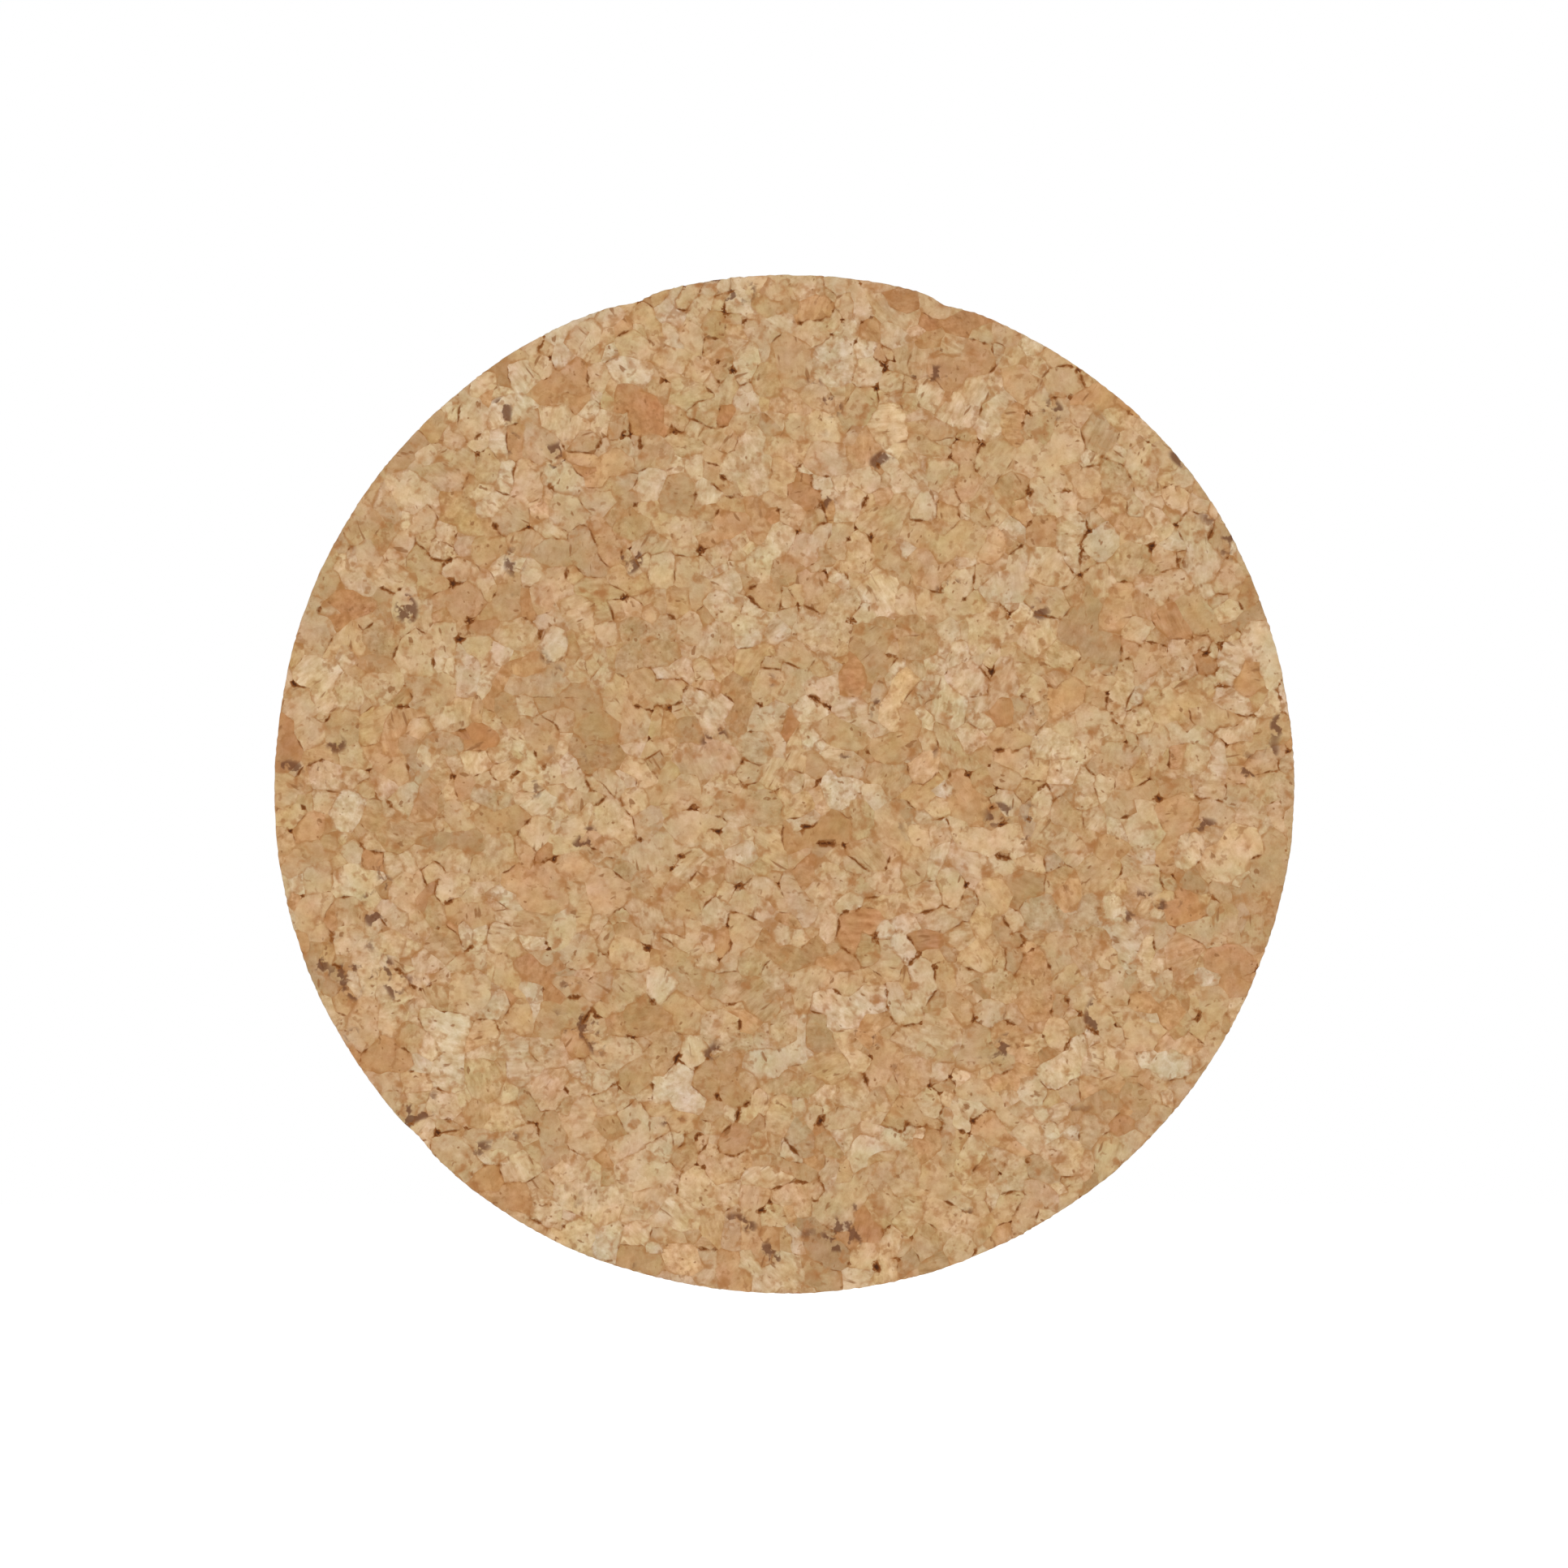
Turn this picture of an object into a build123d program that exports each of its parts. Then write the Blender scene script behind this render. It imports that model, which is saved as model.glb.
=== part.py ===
from build123d import *
import os

# A round, frameless cork bulletin board that hangs on a wall. One disc of coarse agglomerated
# cork is held by four squares of double-sided foam tape, each still under its release liner.
#
# Frame: +Z up, +X to the right of a person facing the board. The wall is the plane y = 0, the
# board stands on its -Y side, and the origin is the middle of the board's back on the wall.
# Sketches lie on Plane.XZ, whose normal is -Y, so an offset is a distance out from the wall.
# All sizes are in millimetres.

# Cork disc
disc_diameter = 150.0
disc_thickness = 10.0
rim_rounding = 0.5

# Shallow dents in the cut rim: angle from +X towards +Z in degrees, width along the rim, depth
rim_dents = [
    (107.0, 7.5, 0.8),
    (71.5, 6.5, 0.7),
    (224.0, 6.0, 0.5),
]

# Squares of foam tape, one in each quarter of the back
pad_side = 25.0
pad_thickness = 1.0
pad_corner = 1.0
pad_offset = 34.0

# Release liner: as wide as its pad, with a tab below it for a fingernail
liner_thickness = 0.12
liner_tab = 5.0
liner_corner = 2.0

# Worked out from the sizes above
disc_radius = disc_diameter / 2
pad_level = liner_thickness
cork_level = liner_thickness + pad_thickness
corners = {
    "top_left": (-1, 1),
    "top_right": (1, 1),
    "bottom_left": (-1, -1),
    "bottom_right": (1, -1),
}


def dent_circle_radius(width, depth):
    """Radius of the circle that cuts a dent of this width and depth into a straight edge."""
    return (width**2 / 4 + depth**2) / (2 * depth)


os.makedirs("parts", exist_ok=True)

# The disc: cut from sheet, its two rim edges slightly rounded, then dented
with BuildPart() as cork_disc:
    with BuildSketch(Plane.XZ.offset(cork_level)):
        Circle(disc_radius)
    extrude(amount=disc_thickness)
    fillet(cork_disc.edges().filter_by(GeomType.CIRCLE), radius=rim_rounding)
    with BuildSketch(Plane.XZ.offset(cork_level)):
        for angle, width, depth in rim_dents:
            dent_radius = dent_circle_radius(width, depth)
            dent_distance = disc_radius - depth + dent_radius
            with PolarLocations(dent_distance, 1, start_angle=angle):
                Circle(dent_radius)
    extrude(amount=disc_thickness, mode=Mode.SUBTRACT)
cork_disc.part.label = "cork_disc"
export_step(cork_disc.part, "parts/cork_disc.step")

# Each quarter's foam square and the liner that covers it
for corner, (side, level) in corners.items():
    pad_centre = (side * pad_offset, level * pad_offset)
    liner_centre = (pad_centre[0], pad_centre[1] - liner_tab / 2)

    with BuildPart() as foam_pad:
        with BuildSketch(Plane.XZ.offset(pad_level)):
            with Locations(pad_centre):
                RectangleRounded(pad_side, pad_side, pad_corner)
        extrude(amount=pad_thickness)
    foam_pad.part.label = f"foam_pad_{corner}"
    export_step(foam_pad.part, f"parts/foam_pad_{corner}.step")

    with BuildPart() as release_liner:
        with BuildSketch(Plane.XZ):
            with Locations(liner_centre):
                RectangleRounded(pad_side, pad_side + liner_tab, liner_corner)
        extrude(amount=liner_thickness)
    release_liner.part.label = f"release_liner_{corner}"
    export_step(release_liner.part, f"parts/release_liner_{corner}.step")
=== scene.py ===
"""A round cork bulletin board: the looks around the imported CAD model.

The cork is one closed mesh whose granules are the cells of a power diagram. Their outlines, the
cracks between them and the pits where they meet are real edges of the mesh, so the outline of
each granule is as sharp as the render. The pattern is drawn flat, on one sheet for the front and
the rim and one for the back, and is then wrapped round the board.
Lengths are in millimetres until a mesh is written, which is in metres.
"""

import math

import bmesh
import bpy
import numpy as np
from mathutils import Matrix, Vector
from mathutils.geometry import delaunay_2d_cdt
from mathutils.kdtree import KDTree


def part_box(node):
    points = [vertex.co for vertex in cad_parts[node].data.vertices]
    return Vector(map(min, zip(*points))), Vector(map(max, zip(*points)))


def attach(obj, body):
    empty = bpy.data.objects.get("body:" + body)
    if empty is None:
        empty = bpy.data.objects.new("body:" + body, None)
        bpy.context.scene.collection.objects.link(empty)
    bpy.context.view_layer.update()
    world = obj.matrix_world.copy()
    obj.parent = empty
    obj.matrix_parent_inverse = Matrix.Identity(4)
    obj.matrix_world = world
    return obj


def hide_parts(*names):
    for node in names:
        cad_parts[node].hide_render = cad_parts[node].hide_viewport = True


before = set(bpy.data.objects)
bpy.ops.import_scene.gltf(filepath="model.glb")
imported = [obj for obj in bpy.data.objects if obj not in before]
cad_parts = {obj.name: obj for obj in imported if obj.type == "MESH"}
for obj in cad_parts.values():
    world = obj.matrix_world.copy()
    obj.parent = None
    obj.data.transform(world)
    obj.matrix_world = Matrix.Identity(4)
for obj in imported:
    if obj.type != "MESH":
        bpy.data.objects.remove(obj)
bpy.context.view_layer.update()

MM = 0.001
CORNERS = ("top_left", "top_right", "bottom_left", "bottom_right")

# Seeds of the random draws; each corner adds its number to the last two
RIM_SEED = 5
FRONT_SEED = 11
BACK_SEED = 12
PAD_SEED = 21
LINER_SEED = 31

# The cut rim. A wobble is (waves round the rim, height); a dent is (angle from +X towards +Z in
# degrees, depth, width towards smaller angles, width towards larger angles).
RIM_ROUNDING = 0.5
RIM_WOBBLES = [(2, 0.13), (3, 0.05), (4, 0.05), (7, 0.06), (9, 0.08), (17, 0.03)]
RIM_DENTS = [(107.0, 0.66, 2.6, 4.0), (71.5, 0.72, 3.6, 1.9), (224.0, 0.48, 2.6, 2.8)]
DENT_SHARPNESS = 1.6
RIM_SHIFT_DEPTH = 5.0
RIM_ROUGHNESS = 0.035
RIM_ROUGHNESS_WAVE = 1.1
SEAM_POINTS = 720

# Granulate: radius, and darts thrown per square millimetre, from the coarsest sieve to the finest
SIEVE = [(2.6, 0.012), (2.15, 0.03), (1.75, 0.06), (1.4, 0.09), (1.05, 0.12), (0.75, 0.14)]
SIZE_SPREAD = (0.85, 1.15)
CLOSEST_PACKING = 0.8
SHEET_MARGIN = 6.0
NEIGHBOURS = 36

# Cells that are joined into one granule, across a wall that is long enough
JOINS_PER_CELL = 0.7
MOST_CELLS_JOINED = 3
LONG_WALL = 1.2

# Outlines: (wavelength, steepest slope, number) of the shears, and the random kinks along them
BENDS = [(14.0, 0.19, 7), (3.6, 0.1, 6), (1.3, 0.06, 5)]
KINK = 0.055

# Cracks. Every opening is a share, from shut to wide open: of the walls that are cracked, of the
# walls round loose granules, and of what is left of it at a corner. It fades in and out. A skew
# is a power over 1 to which a random share is raised, so that most cracks and pits are small.
CRACKED = 0.22
CRACK_OPENING = (0.2, 1.0)
CRACK_SKEW = 1.5
LOOSE = 0.16
LOOSE_OPENING = (0.3, 0.8)
LOOSE_TURN = 0.4
CORNER_OPENING = 0.6
FADE_WAVE = 2.6
FADE_LEVEL = 0.35
FADE_SWING = 0.9
CRACK_HALF_WIDTH = (0.12, 0.65)
CRACK_SLOPE = 1.0
DEPTH_RISE = 3
LEAST_OPENING_WITH_LIPS = 0.05

# Pits, which are bowls at some corners: their chance, and how dark their painted shade is from rim to
# floor
PIT_CHANCE = 0.01
PIT_CHANCE_IN_CRACKS = 0.2
PIT_RADIUS = (0.3, 0.85)
PIT_SKEW = 1.8
PIT_STRETCH = (1.1, 2.2)
PIT_SLOPE = 0.8
PIT_DARKNESS = (0.6, 1.5)
PIT_RIM_POINTS = 8
PIT_WALL_POINTS = 5
PIT_WALL_DARKNESS = 0.9
PIT_MARGIN = 1.0

# The points round a corner where cracks meet, in half widths of the widest crack
JUNCTION_REACH = (0.5, 1.3)
JUNCTION_POINTS = 5
RING_JITTER = (0.7, 1.3)

# Granule tops
TOP_LEVEL = 0.02
TOP_TILT = 0.008

# The mesh: how long its outlines' steps are, and how far apart the points between outlines are
FRONT_SEGMENT = 0.58
FRONT_GRID = 1.9
BACK_SEGMENT = 0.75
BACK_GRID = 2.2

# How near two points may be, and the room that a point needs from the nearest outline or the seam
POINT_SPACING = 0.07
LINE_TOLERANCE = 0.03
SAMPLE_SPACING = 0.12
LIP_ROOM = 0.7
RING_ROOM = 0.05
GRID_ROOM = 0.3
SEAM_MARGIN = 0.3
GRID_MARGIN = 0.6
SEWING_DISTANCE = 0.005

# How steep and deep the relief may be, where it is flat and where it lies on a rounded edge
STEEPEST = 1.1
STEEPEST_ON_A_BEND = 0.45
DEEPEST_ON_A_BEND = 0.12
DEEPENING_OFF_A_BEND = 0.4
BEND_MARGIN = 0.25
SLOPE_PASSES = 40
SLOPE_LEFT = 0.98

# Faces that meet at a sharper angle than this, in degrees, are shaded with an edge
CORK_EDGE_ANGLE = 28
SLAB_EDGE_ANGLE = 40


# ---- fields and random packing

def between(limits, share):
    """The value at this share of the way from the first limit to the second."""
    low, high = limits
    return low + (high - low) * share


def tree_of(points):
    """A search tree of flat points."""
    tree = KDTree(len(points))
    for k, (x, y) in enumerate(points):
        tree.insert((x, y, 0), k)
    tree.balance()
    return tree


def turned_by(angle):
    """The matrix that turns a flat point by this angle."""
    return np.array([[math.cos(angle), -math.sin(angle)], [math.sin(angle), math.cos(angle)]])


def placed(name, data):
    """A new object with this mesh, light or camera, in the scene."""
    thing = bpy.data.objects.new(name, data)
    bpy.context.scene.collection.objects.link(thing)
    return thing


def wave_field(rng, wavelength, waves=26):
    """A smooth random function of a flat point, with unit variance: a sum of plane waves."""
    heading = rng.uniform(0, 2 * math.pi, waves)
    number = 2 * math.pi / wavelength * rng.uniform(0.6, 1.6, waves)
    vectors = np.stack([np.cos(heading), np.sin(heading)]) * number
    phases = rng.uniform(0, 2 * math.pi, waves)

    def field(points):
        return np.sin(points @ vectors + phases).sum(axis=1) * math.sqrt(2 / waves)

    return field


class Bends:
    """A run of wavy shears, which stretches the cells and makes their straight walls crooked.
    A shear moves a point along one line by a wave across it, so it is undone exactly."""

    def __init__(self, rng):
        self.shears = []
        for wavelength, strength, count in BENDS:
            for _ in range(count):
                heading = rng.uniform(0, 2 * math.pi)
                number = 2 * math.pi / wavelength * rng.uniform(0.7, 1.4)
                across = np.array([math.cos(heading), math.sin(heading)])
                along = np.array([-across[1], across[0]]) * strength / number
                self.shears.append((across * number, rng.uniform(0, 2 * math.pi), along))

    def bend(self, points):
        for across, phase, along in self.shears:
            points = points + np.sin(points @ across + phase)[:, None] * along
        return points

    def straighten(self, points):
        for across, phase, along in reversed(self.shears):
            points = points - np.sin(points @ across + phase)[:, None] * along
        return points


def scatter_granules(rng, reach):
    """Throw granules of each sieve size onto a disc, coarsest first, where there is room."""
    bucket = 2 * SIEVE[0][0]
    buckets = {}
    centres, radii = [], []
    for radius, density in SIEVE:
        darts = int(density * math.pi * reach**2)
        distance = reach * np.sqrt(rng.random(darts))
        heading = rng.uniform(0, 2 * math.pi, darts)
        spread = rng.uniform(*SIZE_SPREAD, darts)
        for x, y, r in zip(distance * np.cos(heading), distance * np.sin(heading), radius * spread):
            column, row = int(x // bucket), int(y // bucket)
            near = [
                k
                for i in (column - 1, column, column + 1)
                for j in (row - 1, row, row + 1)
                for k in buckets.get((i, j), ())
            ]
            if all(
                math.hypot(x - centres[k][0], y - centres[k][1]) > CLOSEST_PACKING * (r + radii[k])
                for k in near
            ):
                buckets.setdefault((column, row), []).append(len(centres))
                centres.append((x, y))
                radii.append(r)
    return np.array(centres), np.array(radii)


def clipped(polygon, nx, ny, limit, side):
    """The part of a convex polygon where nx*x + ny*y is under limit. A corner is (x, y, the side
    that leaves it), and the new side is named side."""
    kept = []
    for k, (ax, ay, a_side) in enumerate(polygon):
        bx, by, _ = polygon[(k + 1) % len(polygon)]
        a = nx * ax + ny * ay - limit
        b = nx * bx + ny * by - limit
        if a <= 0:
            kept.append((ax, ay, a_side))
        if (a <= 0) != (b <= 0):
            t = a / (a - b)
            kept.append((ax + t * (bx - ax), ay + t * (by - ay), side if a <= 0 else a_side))
    return kept


def cell_walls(centres, radii):
    """The walls of the granules' power diagram: (start, end, granule, granule) of each."""
    tree = tree_of(centres)
    big = max(radii) ** 2
    far = 3 * SHEET_MARGIN
    walls = []
    for i, (x, y) in enumerate(centres):
        cell = [(-far, -far, -1), (far, -far, -1), (far, far, -1), (-far, far, -1)]
        own = radii[i] ** 2
        for _, j, distance in tree.find_n((x, y, 0), NEIGHBOURS)[1:]:
            if distance**2 + own - big > 2 * distance * max(math.hypot(a, b) for a, b, _ in cell):
                break
            nx, ny = centres[j] - centres[i]
            cell = clipped(cell, nx, ny, (distance**2 + own - radii[j] ** 2) / 2, j)
            if not cell:
                break
        for k, (ax, ay, side) in enumerate(cell):
            bx, by, _ = cell[(k + 1) % len(cell)]
            if side > i:
                walls.append(((x + ax, y + ay), (x + bx, y + by), i, side))
    return walls


def joined_granules(rng, walls, count):
    """Which granule each cell belongs to. Some are two or three cells, so not all are convex."""
    granule = np.arange(count)
    for k in rng.permutation(len(walls))[: int(JOINS_PER_CELL * count)]:
        start, end, i, j = walls[k]
        both = (granule == granule[i]) | (granule == granule[j])
        if math.dist(start, end) > LONG_WALL and both.sum() <= MOST_CELLS_JOINED:
            granule[both] = granule[i]
    return granule


def cells_of(points, centres, radii, tile=4.0):
    """The cell that holds each flat point, found tile by tile."""
    owner = np.zeros(len(points), int)
    place = np.floor(points / tile).astype(int)
    order = np.lexsort((place[:, 1], place[:, 0]))
    ordered = place[order]
    starts = np.flatnonzero(np.r_[True, np.any(ordered[1:] != ordered[:-1], axis=1)])
    for start, stop in zip(starts, np.r_[starts[1:], len(order)]):
        inside = order[start:stop]
        middle = (ordered[start] + 0.5) * tile
        near = np.flatnonzero(np.abs(centres - middle).max(axis=1) < tile / 2 + SHEET_MARGIN)
        gap = points[inside, None, :] - centres[None, near, :]
        owner[inside] = near[np.argmin((gap**2).sum(axis=2) - radii[near] ** 2, axis=1)]
    return owner


def welded(points, spacing):
    """For each point, the point that stands for it: itself, or an earlier one within spacing."""
    tree = tree_of(points)
    stand_in = np.full(len(points), -1)
    for k, (x, y) in enumerate(points):
        if stand_in[k] < 0:
            for _, other, _ in tree.find_range((x, y, 0), spacing):
                if stand_in[other] < 0:
                    stand_in[other] = k
    return stand_in


# ---- one flat sheet of cork

class Sheet:
    """A flat disc of cork: points, triangles, and what each of them is like. Its circles are where
    it turns, and the last is its edge. Its outlines' points are joined by links, and its extras
    are loose points, as (x, y, sink, darkness of painted shade, room that it needs from the nearest
    outline)."""

    def __init__(self, seed, circles, bend_zones, segment, grid):
        self.rng = np.random.default_rng(seed)
        self.circles = circles
        self.bend_zones = bend_zones
        self.reach = circles[-1]
        self.segment = segment
        self.grid = grid
        self.bends = Bends(self.rng)
        self.fade = wave_field(self.rng, FADE_WAVE)
        self.centres, self.radii = scatter_granules(self.rng, self.reach + SHEET_MARGIN)
        self.walls = cell_walls(self.centres, self.radii)
        self.granule = joined_granules(self.rng, self.walls, len(self.centres))
        self.points, self.sinks, self.darks, self.links = [], [], [], []
        self.extras, self.line_samples = [], []
        self.draw_walls()
        self.sink_pits()
        self.add_grid()
        self.triangulate()

    def draw_walls(self):
        """Turn each wall between two granules into a crooked line, with the lips of its crack."""
        rng = self.rng
        kept = [
            w for w in self.walls
            if self.granule[w[2]] != self.granule[w[3]]
            and min(math.hypot(*w[0]), math.hypot(*w[1])) < self.reach + SHEET_MARGIN / 2
        ]
        painted_crack_shade = rng.random(len(kept)) < CRACKED
        openness = np.where(painted_crack_shade, between(CRACK_OPENING, rng.random(len(kept)) ** CRACK_SKEW), 0.0)
        openness = np.maximum(openness, self.crescents(kept))
        corners = {}
        for wall, open_share in zip(kept, openness):
            for end in wall[:2]:
                corners.setdefault(self.corner_key(end), []).append(open_share)
        self.corner_open = {
            key: sorted(shares)[-2] if len(shares) > 1 else 0.0 for key, shares in corners.items()
        }
        for (start, end, _, _), open_share in zip(kept, openness):
            self.draw_wall(np.array(start), np.array(end), open_share)

    def corner_key(self, end):
        """The name of a corner, which is the same for every wall that ends there."""
        return round(end[0], 3), round(end[1], 3)

    def crescents(self, walls):
        """How far each wall is opened by a loose granule, which has come away along one side."""
        count = len(self.centres)
        loose = self.rng.random(count) < LOOSE
        strength = np.where(loose, self.rng.uniform(*LOOSE_OPENING, count), 0.0)
        heading = self.rng.uniform(0, 2 * math.pi, count)
        opened = np.zeros(len(walls))
        for k, (start, end, *cells) in enumerate(walls):
            middle = (np.array(start) + np.array(end)) / 2
            for cell in cells:
                granule = self.granule[cell]
                dx, dy = middle - self.centres[granule]
                facing = math.cos(math.atan2(dy, dx) - heading[granule])
                turned = min(1, max(0, LOOSE_TURN + facing))
                opened[k] = max(opened[k], strength[granule] * turned)
        return opened

    def draw_wall(self, start, end, open_share):
        """Turn one wall into a crooked line of points, sunk where it is cracked and darkened there
        with painted shade.
        """
        length = math.dist(start, end)
        steps = max(1, round(length / self.segment))
        along = np.linspace(0, 1, steps + 1)
        line = start + along[:, None] * (end - start)
        across = np.array([start[1] - end[1], end[0] - start[0]]) / max(length, 1e-9)
        kinks = self.rng.uniform(-KINK, KINK, steps + 1)
        kinks[[0, -1]] = 0
        bent = self.bends.bend(line) + kinks[:, None] * across
        share = open_share * np.clip(FADE_LEVEL + FADE_SWING * self.fade(line), 0, 1)
        share[0] = CORNER_OPENING * self.corner_open[self.corner_key(start)]
        share[-1] = CORNER_OPENING * self.corner_open[self.corner_key(end)]
        half = between(CRACK_HALF_WIDTH, share**2)
        inside = np.hypot(bent[:, 0], bent[:, 1]) < self.reach - SEAM_MARGIN
        first = len(self.points)
        index = {}
        for k in np.flatnonzero(inside):
            index[k] = first + len(index)
            self.points.append(bent[k])
            self.sinks.append(CRACK_SLOPE * half[k] * min(1.0, DEPTH_RISE * share[k]))
            # The painted shade in a crack grows with its opening
            self.darks.append(share[k])
        self.links += [
            (index[k], index[k + 1]) for k in range(steps) if k in index and k + 1 in index
        ]
        fine = np.linspace(0, steps, max(2, int(length / SAMPLE_SPACING)))
        sampled = [np.interp(fine, np.arange(steps + 1), bent[:, axis]) for axis in (0, 1)]
        self.line_samples.append(np.stack(sampled, axis=1))
        if open_share > 0:
            self.add_lips(bent, half, share)

    def add_lips(self, line, half, share):
        """Points along both lips of a crack: half its width to each side of its line."""
        tangent = np.gradient(line, axis=0)
        tangent /= np.linalg.norm(tangent, axis=1)[:, None] + 1e-9
        normal = np.stack([-tangent[:, 1], tangent[:, 0]], axis=1)
        for k in range(1, len(line) - 1):
            if share[k] > LEAST_OPENING_WITH_LIPS:
                for side in (-1, 1):
                    self.add_extra(line[k] + side * half[k] * normal[k], 0, 0, LIP_ROOM * half[k])

    def add_extra(self, point, sink, dark, room):
        self.extras.append((*point, sink, dark, room))

    def sink_pits(self):
        """Sink a pit at some of the corners, and ring the other open ones with points."""
        points = np.array(self.points)
        tree = tree_of(points)
        for key, open_share in self.corner_open.items():
            spot = self.bends.bend(np.array([key]))[0]
            if math.hypot(*spot) > self.reach - PIT_MARGIN:
                continue
            if self.rng.random() < PIT_CHANCE + PIT_CHANCE_IN_CRACKS * open_share:
                self.sink_pit(spot, points, tree)
            elif open_share > 0:
                reach = CRACK_HALF_WIDTH[1] * between(JUNCTION_REACH, open_share)
                self.ring(spot, reach * np.eye(2), JUNCTION_POINTS, 0, 0)

    def sink_pit(self, spot, points, tree):
        """Sink one oval bowl, with painted shade that is darkest at its floor. Half way out from its
        middle it still has 3/4 of its depth.
        """
        radius = between(PIT_RADIUS, self.rng.random() ** PIT_SKEW)
        stretch = math.sqrt(self.rng.uniform(*PIT_STRETCH))
        turn = turned_by(self.rng.uniform(0, math.pi))
        shape = turn * np.array([radius * stretch, radius / stretch])
        depth = PIT_SLOPE * radius / stretch
        self.ring(spot, shape, PIT_RIM_POINTS, 0, 0)
        # The pit's wall ring gets painted shade
        self.ring(spot, 0.5 * shape, PIT_WALL_POINTS, 0.75 * depth, PIT_WALL_DARKNESS)
        for _, k, _ in tree.find_range((spot[0], spot[1], 0), radius * stretch):
            share = 1 - (np.linalg.solve(shape, points[k] - spot) ** 2).sum()
            if share > 0:
                self.sinks[k] = max(self.sinks[k], depth * share)
                # Painted shade, deeper towards the pit's floor
                self.darks[k] = max(self.darks[k], between(PIT_DARKNESS, share))

    def ring(self, spot, shape, count, sink, dark):
        """Points round a spot, on the oval that shape makes of a circle of radius 1."""
        turn = self.rng.uniform(0, 2 * math.pi)
        for k in range(count):
            heading = turn + 2 * math.pi * k / count
            reach = self.rng.uniform(*RING_JITTER)
            offset = shape @ (reach * np.array([math.cos(heading), math.sin(heading)]))
            self.add_extra(spot + offset, sink, dark, RING_ROOM)

    def add_grid(self):
        """Points between the walls, so that no granule is spanned by one flat facet: an even
        spiral of them, and the middle of each granule."""
        count = int(math.pi * self.reach**2 / self.grid**2)
        distance = self.reach * np.sqrt((np.arange(count) + 0.5) / count)
        heading = np.arange(count) * math.pi * (3 - math.sqrt(5))
        spiral = [(r * math.cos(a), r * math.sin(a)) for r, a in zip(distance, heading)]
        for spot in (*spiral, *self.bends.bend(self.centres)):
            if math.hypot(*spot) < self.reach - GRID_MARGIN:
                self.add_extra(spot, 0, 0, GRID_ROOM)

    def triangulate(self):
        """Weld the circles, outlines and extras into one set of points, and triangulate them with
        each link as an edge."""
        tree = tree_of(np.concatenate(self.line_samples))
        extras = np.array(self.extras)
        clear = np.array([tree.find((x, y, 0))[2] for x, y in extras[:, :2]]) > extras[:, 4]
        extras = extras[clear & (np.hypot(extras[:, 0], extras[:, 1]) < self.reach - SEAM_MARGIN)]
        headings = np.arange(SEAM_POINTS) * 2 * math.pi / SEAM_POINTS
        circles = [r * np.stack([np.cos(headings), np.sin(headings)], axis=1) for r in self.circles]
        ring_count = SEAM_POINTS * len(circles)
        flat = np.concatenate(circles + [np.array(self.points), extras[:, :2]])
        sinks = np.concatenate([np.zeros(ring_count), self.sinks, extras[:, 2]])
        darks = np.concatenate([np.zeros(ring_count), self.darks, extras[:, 3]])
        stand_in = welded(flat, POINT_SPACING)
        np.maximum.at(sinks, stand_in, sinks)
        np.maximum.at(darks, stand_in, darks)
        kept = np.unique(stand_in)
        number = np.full(len(flat), -1)
        number[kept] = np.arange(len(kept))
        number = number[stand_in]
        ends = number[np.array(self.links) + ring_count]
        ends = ends[ends[:, 0] != ends[:, 1]]
        verts, _, faces, origins, _, _ = delaunay_2d_cdt(
            [Vector(p) for p in flat[kept]], ends.tolist(), [], 0, LINE_TOLERANCE, True
        )
        self.flat = np.array([(v.x, v.y) for v in verts])
        self.sink = np.array([max((sinks[kept[k]] for k in ids), default=0.0) for ids in origins])
        self.dark = np.array([max((darks[kept[k]] for k in ids), default=0.0) for ids in origins])
        self.faces = np.array(faces)
        self.edge_gap = np.array([tree.find((v.x, v.y, 0))[2] for v in verts])
        self.edge_gap[self.edge_gap < POINT_SPACING] = 0
        self.seam = np.hypot(self.flat[:, 0], self.flat[:, 1]) > self.reach - 1e-3
        straight = self.bends.straighten(self.flat[self.faces].mean(axis=1))
        self.face_granule = self.granule[cells_of(straight, self.centres, self.radii)]
        self.lift_tops()
        self.ease_slopes()

    def lift_tops(self):
        """The height of each point: its granule's slightly tilted top, less its crack or pit."""
        count = len(self.centres)
        level = np.clip(self.rng.normal(0, TOP_LEVEL, count), -2 * TOP_LEVEL, 2 * TOP_LEVEL)
        tilt = np.clip(self.rng.normal(0, TOP_TILT, (count, 2)), -2 * TOP_TILT, 2 * TOP_TILT)
        total = np.zeros(len(self.flat))
        uses = np.zeros(len(self.flat))
        g = self.face_granule
        for corner in self.faces.T:
            top = level[g] + ((self.flat[corner] - self.centres[g]) * tilt[g]).sum(axis=1)
            np.add.at(total, corner, top)
            np.add.at(uses, corner, 1)
        deepest = DEEPEST_ON_A_BEND + DEEPENING_OFF_A_BEND * self.off_bend(self.flat)
        sink = np.minimum(self.sink, deepest)
        self.height = np.where(self.seam, 0, total / np.maximum(uses, 1) - sink)

    def off_bend(self, points):
        """How far each flat point is from the stretches that lie on a rounded edge."""
        reach = np.hypot(points[:, 0], points[:, 1])
        gap = np.full(len(points), self.reach)
        for low, high in self.bend_zones:
            gap = np.minimum(gap, np.maximum(np.maximum(low - reach, reach - high), 0))
        return gap

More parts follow.
